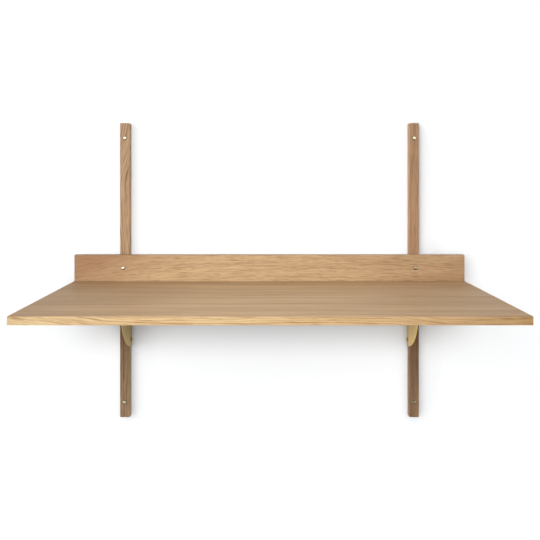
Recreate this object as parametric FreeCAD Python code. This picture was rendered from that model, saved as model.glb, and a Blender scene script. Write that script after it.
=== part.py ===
import FreeCAD, Part
import math
import os

# A wall desk: two oak uprights on the wall, a veneered top with a solid backboard,
# and two folded brass brackets that carry the top from below.
# X runs along the wall, Y into it and Z up. The origin is on the wall plane,
# at the middle of the rectangle of the four wall screws. Sizes are in millimetres.

# Desk top: a board with a solid oak lipping on its edges and veneer over both faces
TOP_WIDTH = 1140.0
DESK_DEPTH = 540.0
SURFACE_Z = -29.0
CORE_THICKNESS = 18.0
VENEER_THICKNESS = 0.7
LIPPING_THICKNESS = 6.0
VENEER_EASING = 0.4

# Backboard: a solid oak board behind the top, rising above it
BACKBOARD_THICKNESS = 20.0
BACKBOARD_RISE = 76.0

# Uprights: solid oak battens, flat on the wall
UPRIGHT_WIDTH = 28.0
UPRIGHT_DEPTH = 24.0
UPRIGHT_LENGTH = 868.0
UPRIGHT_SPACING = 854.0
SOLID_OAK_EASING = 1.0

# Brackets: brass sheet in the shape of a sector, folded over under the top.
# Depths are measured from the wall and drops from the underside of the top.
SHEET_THICKNESS = 2.5
BEND_INSIDE_RADIUS = 2.5
SECTOR_RADIUS = 160.0
SECTOR_CENTRE_DEPTH = -10.0
SECTOR_CENTRE_DROP = 20.0
SECTOR_TOE_RADIUS = 22.0
BRACKET_WALL_GAP = 1.0
BRACKET_HEEL_DROP = 8.0
BRACKET_HEEL_RADIUS = 4.0
FLANGE_WIDTH = 24.0
FLANGE_START_DEPTH = 26.0
FLANGE_CORNER_RADIUS = 6.0

# Round heads of the screws that show, and their slots
HEAD_RADIUS = 6.0
HEAD_HEIGHT = 4.0
HEAD_RIM = 0.5
SLOT_WIDTH = 1.2
SLOT_DEPTH = 1.5
SLOT_TURN = 37.0

# Wall screws, through the uprights and on into the wall
WALL_SCREW_SPACING_Z = 780.0
WALL_SCREW_SHANK_RADIUS = 2.7
WALL_SCREW_THREAD_RADIUS = 2.3
WALL_SCREW_REACH = 46.0
WALL_SCREW_POINT = 6.0
WALL_SCREW_HOLE_RADIUS = 3.0

# Bolts through the backboard, and the threaded inserts that take them
BOLT_RADIUS = 3.0
BOLT_HOLE_RADIUS = 3.3
BOLT_GRIP = 14.0
BOLT_POINT = 1.0
INSERT_RADIUS = 5.0
INSERT_LENGTH = 15.0

# Screws through the side of each bracket into its upright
SIDE_SCREW_RADIUS = 2.25
SIDE_SCREW_LENGTH = 25.0
SIDE_SCREW_POINT = 4.0
SIDE_SCREW_DROPS = (24.0, 159.0)

# Screws through the flange of each bracket into the top
TOP_SCREW_HEAD_RADIUS = 4.0
TOP_SCREW_HEAD_HEIGHT = 2.8
TOP_SCREW_RADIUS = 2.0
TOP_SCREW_LENGTH = 16.0
TOP_SCREW_POINT = 3.0
TOP_SCREW_DEPTHS = (62.0, 96.0, 130.0)

# Dowels and countersunk screws in turn along the joint of top and backboard
JOINT_PITCH = 115.0
DOWEL_PLACES = (-3, -1, 1, 3)
DOWEL_RADIUS = 4.0
DOWEL_IN_BACKBOARD = 12.0
DOWEL_IN_TOP = 20.0
DOWEL_EASING = 0.8
JOINT_SCREW_PLACES = (-4, -2, 0, 2, 4)
JOINT_SCREW_HEAD_RADIUS = 4.2
JOINT_SCREW_HEAD_DEPTH = 2.4
JOINT_SCREW_RADIUS = 2.1
JOINT_SCREW_LENGTH = 50.0
JOINT_SCREW_POINT = 4.0

# Clearances: of a screw in its hole, and of a cut past the face it opens
FIT = 0.05
SHEET_HOLE_CLEARANCE = 0.25
PAST = 1.0

# Levels and faces that follow from the sizes above
HALF_WIDTH = TOP_WIDTH / 2
CORE_TOP_Z = SURFACE_Z - VENEER_THICKNESS
CORE_BOTTOM_Z = CORE_TOP_Z - CORE_THICKNESS
UNDERSIDE_Z = CORE_BOTTOM_Z - VENEER_THICKNESS
CORE_MIDDLE_Z = (CORE_TOP_Z + CORE_BOTTOM_Z) / 2
FRONT_Y = -DESK_DEPTH
BACKBOARD_BACK_Y = -UPRIGHT_DEPTH
BACKBOARD_FRONT_Y = BACKBOARD_BACK_Y - BACKBOARD_THICKNESS
BACKBOARD_TOP_Z = SURFACE_Z + BACKBOARD_RISE
BOLT_Z = SURFACE_Z + BACKBOARD_RISE / 2
UPRIGHT_X = UPRIGHT_SPACING / 2
UPRIGHT_INNER_X = UPRIGHT_X - UPRIGHT_WIDTH / 2
WALL_SCREW_Z = WALL_SCREW_SPACING_Z / 2
SIDE_SCREW_Y = -UPRIGHT_DEPTH / 2
BEND_OUTSIDE_RADIUS = BEND_INSIDE_RADIUS + SHEET_THICKNESS
TOP_SCREW_X = UPRIGHT_INNER_X - (BEND_OUTSIDE_RADIUS + FLANGE_WIDTH) / 2
TOP_SCREW_SEAT_Z = UNDERSIDE_Z - SHEET_THICKNESS

LEFT = -1
RIGHT = 1
SIDES = {"left": LEFT, "right": RIGHT}

ORIGIN = FreeCAD.Vector(0, 0, 0)
ALONG_X = FreeCAD.Vector(1, 0, 0)
ALONG_Y = FreeCAD.Vector(0, 1, 0)
ALONG_Z = FreeCAD.Vector(0, 0, 1)


def block(x_range, y_range, z_range):
    """A rectangular block between the given limits."""
    corner = FreeCAD.Vector(x_range[0], y_range[0], z_range[0])
    lengths = [high - low for low, high in (x_range, y_range, z_range)]
    return Part.makeBox(*lengths, corner)


def rod(radius, start, direction, length):
    """A round rod from a start point along a direction."""
    return Part.makeCylinder(radius, length, start, direction)


def line(start, end):
    """A straight edge."""
    return Part.LineSegment(start, end).toShape()


def arc(start, middle, end):
    """A round edge through three points."""
    return Part.Arc(start, middle, end).toShape()


def filled(edges):
    """The flat face inside a closed run of edges."""
    return Part.Face(Part.Wire(edges))


def outline(points):
    """The flat face of a polygon."""
    return Part.Face(Part.makePolygon(points + points[:1]))


def drilled(shape, rods):
    """The shape with each rod cut out of it."""
    for cutter in rods:
        shape = shape.cut(cutter)
    return shape


def wall_screw_points(side):
    """Where the two wall screws of an upright cross the wall plane."""
    return [FreeCAD.Vector(side * UPRIGHT_X, 0, end * WALL_SCREW_Z) for end in (1, -1)]


def side_screw_points(side):
    """Where the side screws of a bracket enter the inner side of its upright."""
    x = side * UPRIGHT_INNER_X
    return [FreeCAD.Vector(x, SIDE_SCREW_Y, UNDERSIDE_Z - drop) for drop in SIDE_SCREW_DROPS]


def top_screw_points(side):
    """Where the screws of a bracket's flange seat against it from below."""
    x = side * TOP_SCREW_X
    return [FreeCAD.Vector(x, -depth, TOP_SCREW_SEAT_Z) for depth in TOP_SCREW_DEPTHS]


def dowel_ends():
    """The rear end of each dowel, inside the backboard."""
    y = BACKBOARD_FRONT_Y + DOWEL_IN_BACKBOARD
    return [FreeCAD.Vector(place * JOINT_PITCH, y, CORE_MIDDLE_Z) for place in DOWEL_PLACES]


def joint_screw_points():
    """The middle of each joint screw's head, flush with the back of the backboard."""
    y = BACKBOARD_BACK_Y
    return [FreeCAD.Vector(place * JOINT_PITCH, y, CORE_MIDDLE_Z) for place in JOINT_SCREW_PLACES]


def dowel_holes():
    """The holes of the dowels, running through the joint."""
    length = DOWEL_IN_BACKBOARD + DOWEL_IN_TOP
    return [rod(DOWEL_RADIUS + FIT, end, -ALONG_Y, length) for end in dowel_ends()]


def joint_screw_holes():
    """The holes of the joint screws, the countersinks included."""
    holes = []
    for point in joint_screw_points():
        holes.append(rod(JOINT_SCREW_RADIUS + FIT, point, -ALONG_Y, JOINT_SCREW_LENGTH))
        wide = JOINT_SCREW_HEAD_RADIUS + FIT
        narrow = JOINT_SCREW_RADIUS + FIT
        holes.append(Part.makeCone(wide, narrow, JOINT_SCREW_HEAD_DEPTH, point, -ALONG_Y))
    return holes


def top_screw_holes():
    """The holes of the flange screws in the underside of the top."""
    holes = []
    for side in SIDES.values():
        for seat in top_screw_points(side):
            holes.append(rod(TOP_SCREW_RADIUS + FIT, seat, ALONG_Z, TOP_SCREW_LENGTH))
    return holes


def upright(side):
    """An oak batten with its arrises eased, drilled for its screws and its insert."""
    middle = side * UPRIGHT_X
    half_width = UPRIGHT_WIDTH / 2
    half_length = UPRIGHT_LENGTH / 2
    batten = block(
        (middle - half_width, middle + half_width),
        (-UPRIGHT_DEPTH, 0),
        (-half_length, half_length),
    )
    batten = batten.makeFillet(SOLID_OAK_EASING, batten.Edges)
    holes = []
    for point in wall_screw_points(side):
        start = point + ALONG_Y * PAST
        holes.append(rod(WALL_SCREW_HOLE_RADIUS, start, -ALONG_Y, UPRIGHT_DEPTH + 2 * PAST))
    insert_mouth = FreeCAD.Vector(middle, -UPRIGHT_DEPTH, BOLT_Z)
    holes.append(rod(INSERT_RADIUS + FIT, insert_mouth, ALONG_Y, INSERT_LENGTH))
    for point in side_screw_points(side):
        depth = SIDE_SCREW_LENGTH - SHEET_THICKNESS
        holes.append(rod(SIDE_SCREW_RADIUS + FIT, point, ALONG_X * side, depth))
    return drilled(batten, holes)


def desktop_core():
    """The board inside the top, drilled for the dowels and screws that enter it."""
    half = HALF_WIDTH - LIPPING_THICKNESS
    core = block(
        (-half, half),
        (FRONT_Y + LIPPING_THICKNESS, BACKBOARD_FRONT_Y),
        (CORE_BOTTOM_Z, CORE_TOP_Z),
    )
    return drilled(core, dowel_holes() + joint_screw_holes() + top_screw_holes())


def veneer(low_z, show_z):
    """A sheet of veneer over core and lippings, its outer arrises eased at the face that shows."""
    sheet = block(
        (-HALF_WIDTH, HALF_WIDTH),
        (FRONT_Y, BACKBOARD_FRONT_Y),
        (low_z, low_z + VENEER_THICKNESS),
    )
    arrises = []
    for edge in sheet.Edges:
        middle = edge.CenterOfMass
        shows = abs(middle.z - show_z) < FIT
        at_rear = abs(middle.y - BACKBOARD_FRONT_Y) < FIT
        if shows and not at_rear:
            arrises.append(edge)
    return sheet.makeFillet(VENEER_EASING, arrises)


def desktop_top_veneer():
    """The writing surface."""
    return veneer(CORE_TOP_Z, SURFACE_Z)


def desktop_bottom_veneer():
    """The veneer under the top, which keeps the board flat."""
    return drilled(veneer(UNDERSIDE_Z, UNDERSIDE_Z), top_screw_holes())


def desktop_front_lipping():
    """The solid oak front edge, mitred at both ends."""
    inner_half = HALF_WIDTH - LIPPING_THICKNESS
    inner_y = FRONT_Y + LIPPING_THICKNESS
    plan = outline(
        [
            FreeCAD.Vector(-HALF_WIDTH, FRONT_Y, CORE_BOTTOM_Z),
            FreeCAD.Vector(HALF_WIDTH, FRONT_Y, CORE_BOTTOM_Z),
            FreeCAD.Vector(inner_half, inner_y, CORE_BOTTOM_Z),
            FreeCAD.Vector(-inner_half, inner_y, CORE_BOTTOM_Z),
        ]
    )
    return plan.extrude(ALONG_Z * CORE_THICKNESS)


def desktop_end_lipping(side):
    """The solid oak edge of one end, mitred at the front and butted to the backboard."""
    outer_x = side * HALF_WIDTH
    inner_x = side * (HALF_WIDTH - LIPPING_THICKNESS)
    plan = outline(
        [
            FreeCAD.Vector(outer_x, FRONT_Y, CORE_BOTTOM_Z),
            FreeCAD.Vector(outer_x, BACKBOARD_FRONT_Y, CORE_BOTTOM_Z),
            FreeCAD.Vector(inner_x, BACKBOARD_FRONT_Y, CORE_BOTTOM_Z),
            FreeCAD.Vector(inner_x, FRONT_Y + LIPPING_THICKNESS, CORE_BOTTOM_Z),
        ]
    )
    return plan.extrude(ALONG_Z * CORE_THICKNESS)


def backboard():
    """The board along the rear of the top, drilled for bolts, dowels and joint screws."""
    board = block(
        (-HALF_WIDTH, HALF_WIDTH),
        (BACKBOARD_FRONT_Y, BACKBOARD_BACK_Y),
        (UNDERSIDE_Z, BACKBOARD_TOP_Z),
    )
    board = board.makeFillet(SOLID_OAK_EASING, board.Edges)
    holes = dowel_holes() + joint_screw_holes()
    for side in SIDES.values():
        start = FreeCAD.Vector(side * UPRIGHT_X, BACKBOARD_FRONT_Y - PAST, BOLT_Z)
        holes.append(rod(BOLT_HOLE_RADIUS, start, ALONG_Y, BACKBOARD_THICKNESS + 2 * PAST))
    return drilled(board, holes)


def bracket_fold(side):
    """The section of the bracket, a long side and a short flange, run out along its depth."""

    def at(inward, drop):
        return FreeCAD.Vector(side * (UPRIGHT_INNER_X - inward), 0, UNDERSIDE_Z - drop)

    sheet = SHEET_THICKNESS
    outer = BEND_OUTSIDE_RADIUS
    outer_middle = outer * (1 - math.sqrt(0.5))
    inner_middle = outer - BEND_INSIDE_RADIUS * math.sqrt(0.5)
    low = SECTOR_CENTRE_DROP + SECTOR_RADIUS + PAST
    section = filled(
        [
            line(at(0, low), at(0, outer)),
            arc(at(0, outer), at(outer_middle, outer_middle), at(outer, 0)),
            line(at(outer, 0), at(FLANGE_WIDTH, 0)),
            line(at(FLANGE_WIDTH, 0), at(FLANGE_WIDTH, sheet)),
            line(at(FLANGE_WIDTH, sheet), at(outer, sheet)),
            arc(at(outer, sheet), at(inner_middle, inner_middle), at(sheet, outer)),
            line(at(sheet, outer), at(sheet, low)),
            line(at(sheet, low), at(0, low)),
        ]
    )
    return section.extrude(-ALONG_Y * SECTOR_RADIUS)


def bracket_outline(side):
    """The side view of the bracket, a sector with a rounded toe, run out along the wall."""
    x = side * (UPRIGHT_INNER_X + PAST)

    def at(depth, drop):
        return FreeCAD.Vector(x, -depth, UNDERSIDE_Z - drop)

    def on_circle(centre, radius, angle):
        return at(centre[0] + radius * math.cos(angle), centre[1] + radius * math.sin(angle))

    rear = BRACKET_WALL_GAP
    heel = BRACKET_HEEL_DROP
    heel_round = BRACKET_HEEL_RADIUS
    heel_middle = heel_round * (1 - math.sqrt(0.5))
    sector = (SECTOR_CENTRE_DEPTH, SECTOR_CENTRE_DROP)
    toe_depth = rear + SECTOR_TOE_RADIUS
    toe_offset = toe_depth - SECTOR_CENTRE_DEPTH
    toe_drop = math.sqrt((SECTOR_RADIUS - SECTOR_TOE_RADIUS) ** 2 - toe_offset**2)
    toe = (toe_depth, SECTOR_CENTRE_DROP + toe_drop)
    nose_angle = -math.asin(SECTOR_CENTRE_DROP / SECTOR_RADIUS)
    toe_angle = math.atan2(toe_drop, toe_offset)
    rim_angle = (nose_angle + toe_angle) / 2
    toe_middle = (toe_angle + math.pi) / 2
    nose = on_circle(sector, SECTOR_RADIUS, nose_angle)
    rim_end = on_circle(sector, SECTOR_RADIUS, toe_angle)
    face = filled(
        [
            line(at(FLANGE_START_DEPTH, 0), nose),
            arc(nose, on_circle(sector, SECTOR_RADIUS, rim_angle), rim_end),
            arc(rim_end, on_circle(toe, SECTOR_TOE_RADIUS, toe_middle), at(rear, toe[1])),
            line(at(rear, toe[1]), at(rear, heel + heel_round)),
            arc(
                at(rear, heel + heel_round),
                at(rear + heel_middle, heel + heel_middle),
                at(rear + heel_round, heel),
            ),
            line(at(rear + heel_round, heel), at(FLANGE_START_DEPTH, heel)),
            line(at(FLANGE_START_DEPTH, heel), at(FLANGE_START_DEPTH, 0)),
        ]
    )
    return face.extrude(ALONG_X * -side * (FLANGE_WIDTH + 2 * PAST))


def bracket(side):
    """A brass sector with its flange, drilled for its screws."""
    plate = bracket_fold(side).common(bracket_outline(side))
    free_x = UPRIGHT_INNER_X - FLANGE_WIDTH
    corners = []
    for edge in plate.Edges:
        on_free_side = abs(abs(edge.CenterOfMass.x) - free_x) < FIT
        if on_free_side and abs(edge.Length - SHEET_THICKNESS) < FIT:
            corners.append(edge)
    plate = plate.makeFillet(FLANGE_CORNER_RADIUS, corners)
    holes = []
    for point in side_screw_points(side):
        start = point + ALONG_X * side * PAST
        radius = SIDE_SCREW_RADIUS + SHEET_HOLE_CLEARANCE
        holes.append(rod(radius, start, ALONG_X * -side, SHEET_THICKNESS + 2 * PAST))
    for seat in top_screw_points(side):
        start = seat - ALONG_Z * PAST
        radius = TOP_SCREW_RADIUS + SHEET_HOLE_CLEARANCE
        holes.append(rod(radius, start, ALONG_Z, SHEET_THICKNESS + 2 * PAST))
    return drilled(plate, holes)


def round_head_screw(head_radius, head_height, shank, point_length):
    """A slotted screw with its head up and its seat at zero. The shank's stretches are radii and lengths."""
    cap_height = head_height - HEAD_RIM
    cap_radius = (head_radius**2 + cap_height**2) / (2 * cap_height)
    cap_centre = head_height - cap_radius
    cap_middle = math.asin(head_radius / cap_radius) / 2

    def at(radius, height):
        return FreeCAD.Vector(radius, 0, height)

    crown = at(0, head_height)
    shoulder = at(head_radius, HEAD_RIM)
    on_cap = at(cap_radius * math.sin(cap_middle), cap_centre + cap_radius * math.cos(cap_middle))
    corners = [shoulder, at(head_radius, 0)]
    height = 0.0
    for radius, length in shank:
        corners.append(at(radius, height))
        height -= length
        corners.append(at(radius, height))
    point_radius = shank[-1][0] - min(point_length, shank[-1][0]) / 2
    corners[-1].z += point_length
    corners.append(at(point_radius, height))
    corners.append(at(0, height))
    corners.append(crown)
    profile = [arc(crown, on_cap, shoulder)]
    for start, end in zip(corners, corners[1:]):
        profile.append(line(start, end))
    screw = filled(profile).revolve(ORIGIN, ALONG_Z, 360)
    slot_reach = head_radius + PAST
    half_slot = SLOT_WIDTH / 2
    slot = block(
        (-slot_reach, slot_reach),
        (-half_slot, half_slot),
        (head_height - SLOT_DEPTH, head_height + PAST),
    )
    return screw.cut(slot)


def set_in_place(screw, seats, outward):
    """Copies of a screw on their seats, heads outward, each slot turned a step further."""
    stand = FreeCAD.Rotation(ALONG_Z, outward)
    copies = []
    for count, seat in enumerate(seats):
        turn = FreeCAD.Rotation(ALONG_Z, SLOT_TURN * (count + 1))
        copy = screw.copy()
        copy.Placement = FreeCAD.Placement(seat, stand.multiply(turn))
        copies.append(copy)
    return Part.makeCompound(copies)


def wall_screws():
    """Long screws through the uprights, their threads standing out behind the wall plane."""
    shank = [
        (WALL_SCREW_SHANK_RADIUS, UPRIGHT_DEPTH),
        (WALL_SCREW_THREAD_RADIUS, WALL_SCREW_REACH),
    ]
    screw = round_head_screw(HEAD_RADIUS, HEAD_HEIGHT, shank, WALL_SCREW_POINT)
    seats = []
    for side in SIDES.values():
        seats += [point - ALONG_Y * UPRIGHT_DEPTH for point in wall_screw_points(side)]
    return set_in_place(screw, seats, -ALONG_Y)


def backboard_bolts():
    """Machine screws through the backboard into the inserts of the uprights."""
    shank = [(BOLT_RADIUS, BACKBOARD_THICKNESS + BOLT_GRIP)]
    bolt = round_head_screw(HEAD_RADIUS, HEAD_HEIGHT, shank, BOLT_POINT)
    seats = [FreeCAD.Vector(side * UPRIGHT_X, BACKBOARD_FRONT_Y, BOLT_Z) for side in SIDES.values()]
    return set_in_place(bolt, seats, -ALONG_Y)


def upright_inserts():
    """Brass sleeves, threaded inside, set flush in the front of the uprights."""
    sleeves = []
    for side in SIDES.values():
        mouth = FreeCAD.Vector(side * UPRIGHT_X, -UPRIGHT_DEPTH, BOLT_Z)
        sleeve = rod(INSERT_RADIUS, mouth, ALONG_Y, INSERT_LENGTH)
        sleeves.append(sleeve.cut(rod(BOLT_RADIUS + FIT, mouth, ALONG_Y, INSERT_LENGTH)))
    return Part.makeCompound(sleeves)


def bracket_side_screws(side):
    """Wood screws through a bracket's side into its upright."""
    shank = [(SIDE_SCREW_RADIUS, SIDE_SCREW_LENGTH)]
    screw = round_head_screw(HEAD_RADIUS, HEAD_HEIGHT, shank, SIDE_SCREW_POINT)
    inward = ALONG_X * -side
    seats = [point + inward * SHEET_THICKNESS for point in side_screw_points(side)]
    return set_in_place(screw, seats, inward)


def bracket_top_screws(side):
    """Wood screws through a bracket's flange up into the top."""
    shank = [(TOP_SCREW_RADIUS, TOP_SCREW_LENGTH)]
    screw = round_head_screw(TOP_SCREW_HEAD_RADIUS, TOP_SCREW_HEAD_HEIGHT, shank, TOP_SCREW_POINT)
    return set_in_place(screw, top_screw_points(side), -ALONG_Z)


def joint_dowels():
    """Beech dowels across the joint of top and backboard."""
    dowels = []
    for end in dowel_ends():
        dowel = rod(DOWEL_RADIUS, end, -ALONG_Y, DOWEL_IN_BACKBOARD + DOWEL_IN_TOP)
        rims = [edge for edge in dowel.Edges if abs(edge.Length - math.tau * DOWEL_RADIUS) < FIT]
        dowels.append(dowel.makeChamfer(DOWEL_EASING, rims))
    return Part.makeCompound(dowels)


def joint_screws():
    """Countersunk screws through the backboard into the rear edge of the top."""
    screws = []
    for point in joint_screw_points():
        head = Part.makeCone(
            JOINT_SCREW_HEAD_RADIUS, JOINT_SCREW_RADIUS, JOINT_SCREW_HEAD_DEPTH, point, -ALONG_Y
        )
        straight = JOINT_SCREW_LENGTH - JOINT_SCREW_POINT
        shank = rod(JOINT_SCREW_RADIUS, point, -ALONG_Y, straight)
        tip_start = point - ALONG_Y * straight
        tip = Part.makeCone(JOINT_SCREW_RADIUS, 0, JOINT_SCREW_POINT, tip_start, -ALONG_Y)
        screw = head.fuse([shank, tip]).removeSplitter()
        half_slot = SLOT_WIDTH / 2
        slot = block(
            (point.x - JOINT_SCREW_HEAD_RADIUS, point.x + JOINT_SCREW_HEAD_RADIUS),
            (point.y - SLOT_DEPTH, point.y + PAST),
            (point.z - half_slot, point.z + half_slot),
        )
        screws.append(screw.cut(slot))
    return Part.makeCompound(screws)


def wall_desk():
    """Every piece of the desk by name."""
    pieces = {
        "desktop_core": desktop_core(),
        "desktop_top_veneer": desktop_top_veneer(),
        "desktop_bottom_veneer": desktop_bottom_veneer(),
        "desktop_front_lipping": desktop_front_lipping(),
        "backboard": backboard(),
        "joint_dowels": joint_dowels(),
        "joint_screws": joint_screws(),
        "wall_screws": wall_screws(),
        "backboard_bolts": backboard_bolts(),
        "upright_inserts": upright_inserts(),
    }
    for name, side in SIDES.items():
        pieces[f"desktop_{name}_lipping"] = desktop_end_lipping(side)
        pieces[f"{name}_upright"] = upright(side)
        pieces[f"{name}_bracket"] = bracket(side)
        pieces[f"{name}_bracket_side_screws"] = bracket_side_screws(side)
        pieces[f"{name}_bracket_top_screws"] = bracket_top_screws(side)
    return pieces


os.makedirs("parts", exist_ok=True)
for node, shape in wall_desk().items():
    shape.exportStep(f"parts/{node}.step")
    print(node, len(shape.Solids), shape.isValid(), round(shape.Volume, 1))
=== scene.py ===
# %% [markdown]
# # A wall desk in oak and brass
# The desk is a thin oak top with a low backboard, hung on two oak uprights that are screwed to a
# wall. Two folded brass brackets carry the top from below. The solids come from the CAD model, so
# this lesson loads them as a fixed frame in metres: X runs along the wall, Y into it and Z up.

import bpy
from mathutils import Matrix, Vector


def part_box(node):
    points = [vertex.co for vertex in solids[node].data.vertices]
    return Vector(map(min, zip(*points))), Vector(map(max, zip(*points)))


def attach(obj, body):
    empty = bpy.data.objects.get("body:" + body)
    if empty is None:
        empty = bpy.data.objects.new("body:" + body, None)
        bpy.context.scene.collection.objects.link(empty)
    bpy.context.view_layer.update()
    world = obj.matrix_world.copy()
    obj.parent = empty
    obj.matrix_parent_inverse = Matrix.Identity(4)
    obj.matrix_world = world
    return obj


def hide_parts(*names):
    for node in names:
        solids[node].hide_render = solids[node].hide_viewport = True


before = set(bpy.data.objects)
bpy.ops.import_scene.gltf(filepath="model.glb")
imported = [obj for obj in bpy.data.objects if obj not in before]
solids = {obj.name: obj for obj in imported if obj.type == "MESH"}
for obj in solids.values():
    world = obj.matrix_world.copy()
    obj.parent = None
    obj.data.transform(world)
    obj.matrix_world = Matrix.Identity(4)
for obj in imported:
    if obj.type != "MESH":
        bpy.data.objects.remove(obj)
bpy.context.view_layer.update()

# %% Tools of this lesson
import math

import bmesh
import bpy
from mathutils import Matrix, Vector

scene = bpy.context.scene
scene.view_settings.view_transform = "Standard"

# %% [markdown]
# ## Camera
# The desk is seen straight on, from a little above the top. The camera stays level so that the
# uprights don't lean, and the lens is shifted down instead of tilted, as an architect's camera is.

# %% Level camera with a shifted lens
SENSOR_MM = 36.0
LENS_MM = 43.73
LENS_SHIFT = (0.0044, -0.1672)
EYE = (-0.0055, -1.960, 0.2669)
LEVEL_TURN = (math.radians(90), 0, 0)

camera_data = bpy.data.cameras.new("level_camera")
camera_data.sensor_width = SENSOR_MM
camera_data.lens = LENS_MM
camera_data.shift_x, camera_data.shift_y = LENS_SHIFT
camera = bpy.data.objects.new("level_camera", camera_data)
camera.location = EYE
camera.rotation_euler = LEVEL_TURN
scene.collection.objects.link(camera)
scene.camera = camera
print("camera at", tuple(camera.location))

# %% [markdown]
# ## Node helpers
# Every finish below is a small network of nodes. One helper adds a node, sets its options, and
# fills each input with a plain value or with a link from another node. The others do one sum, one
# stretched noise, one ramp and one blend of two colours, so that a finish reads like a recipe.


# %% Node helpers
RAMP_MIDDLE = 0.5


def add_node(tree, kind, inputs=None, **options):
    made = tree.nodes.new(kind)
    for option, value in options.items():
        setattr(made, option, value)
    for socket, value in (inputs or {}).items():
        if isinstance(value, bpy.types.NodeSocket):
            tree.links.new(value, made.inputs[socket])
        else:
            made.inputs[socket].default_value = value
    return made


def sum_of(tree, operation, first, second=0.0, clamp=False):
    inputs = {0: first, 1: second}
    made = add_node(tree, "ShaderNodeMath", inputs, operation=operation, use_clamp=clamp)
    return made.outputs[0]


def stretched_noise(tree, place, stretch, detail=2.0, roughness=0.5):
    inputs = {0: place, 1: stretch}
    scaled = add_node(tree, "ShaderNodeVectorMath", inputs, operation="MULTIPLY")
    inputs = {
        "Vector": scaled.outputs[0],
        "Scale": 1.0,
        "Detail": detail,
        "Roughness": roughness,
    }
    return add_node(tree, "ShaderNodeTexNoise", inputs).outputs[0]


def ramp_of(tree, value, stops, curve="LINEAR"):
    ramp = add_node(tree, "ShaderNodeValToRGB", {0: value})
    ramp.color_ramp.interpolation = curve
    elements = ramp.color_ramp.elements
    while len(elements) < len(stops):
        elements.new(RAMP_MIDDLE)
    for element, (position, grey) in zip(elements, stops):
        element.position = position
        element.color = (grey, grey, grey, 1.0)
    return ramp.outputs[0]


def blended(tree, share, first, second):
    inputs = {0: share, 6: first, 7: second}
    return add_node(tree, "ShaderNodeMix", inputs, data_type="RGBA").outputs[2]


def new_finish(name):
    finish = bpy.data.materials.new(name)
    finish.use_nodes = True
    finish.node_tree.nodes.clear()
    return finish, finish.node_tree


# %% [markdown]
# ## Wall and floor
# The wall is a matt paint, seen from its front alone. It lets light through from behind, so that
# the desk's back can be looked at too. The floor lies below the picture and works in the same way.
# A wall is darkest in the narrow corner beside a batten, where little of the room can be seen.
# That shade is part of the paint: a node measures how open each spot is, mostly towards the upper
# left, where the light comes from, so the shade falls to the right of a batten and below it. Its
# share depends on the height above the floor and on the place along the wall. Under the left end
# of the top a second shade, leaning the other way, falls to the left of the batten. A third one, of
# short reach, is the thin dark line close beside the upper right batten.

# %% Wall paint
STAGE_HALF = 4.0
FLOOR_Z = -0.86
WALL_Y = 0.0005
WALL_GLOW = 0.02
FLOOR_GLOW = 0.6
PAINT_WHITE = (0.465, 0.47, 0.475, 1)
CORNER_WHITE = (0.23, 0.235, 0.24, 1)
CORNER_REACH = 0.08
EDGE_REACH = 0.012
SHADE_SAMPLES = 4
SHADE_CURVE = 1.6
SHADE_GAIN = 1.7
SHADE_START_X = -0.5
RIGHT_LEAN = (-0.45, -0.79, 0.42)
LEFT_LEAN = (0.45, -0.79, 0.42)
UNDER_TOP = [(0.16, 0.0), (0.31, 1.0), (0.81, 1.0), (0.84, 0.0)]
UNDER_TOP_ALONG = [(0.05, 0.65), (0.25, 0.65), (0.80, 0.9), (0.93, 1.0)]
OVER_TOP = [(0.81, 0.0), (0.84, 1.0)]
OVER_TOP_ALONG = [(0.915, 0.22), (0.935, 0.85), (0.97, 0.85), (1.0, 1.3)]
LEFT_SIDE = [(0.63, 0.0), (0.69, 1.0), (0.81, 1.0), (0.84, 0.0)]
LEFT_SIDE_ALONG = [(0.06, 0.8), (0.07, 0.0)]
RIGHT_EDGE_ALONG = [(0.92, 0.0), (0.935, 2.4)]


def seen_by_eye(tree):
    path = add_node(tree, "ShaderNodeLightPath").outputs
    seen = sum_of(tree, "ADD", path["Is Camera Ray"], path["Is Glossy Ray"], clamp=True)
    return sum_of(tree, "ADD", seen, path["Is Transmission Ray"], clamp=True)


def contact_shade(tree, reach, lean, *shares):
    lean = add_node(tree, "ShaderNodeCombineXYZ", dict(zip("XYZ", lean))).outputs[0]
    inputs = {"Distance": reach, "Normal": lean}
    corner = add_node(tree, "ShaderNodeAmbientOcclusion", inputs, samples=SHADE_SAMPLES)
    closeness = sum_of(tree, "SUBTRACT", 1.0, corner.outputs["AO"], clamp=True)
    closeness = sum_of(tree, "POWER", closeness, SHADE_CURVE)
    where = add_node(tree, "ShaderNodeTexCoord").outputs["Object"]
    place = add_node(tree, "ShaderNodeSeparateXYZ", {0: where}).outputs
    height = sum_of(tree, "SUBTRACT", place["Z"], FLOOR_Z)
    along = sum_of(tree, "SUBTRACT", place["X"], SHADE_START_X)
    total = 0.0
    for by_height, by_place in shares:
        first, second = ramp_of(tree, height, by_height), ramp_of(tree, along, by_place)
        total = sum_of(tree, "ADD", sum_of(tree, "MULTIPLY", first, second), total)
    strength = sum_of(tree, "MULTIPLY", total, SHADE_GAIN)
    return sum_of(tree, "MULTIPLY", closeness, strength)


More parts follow.
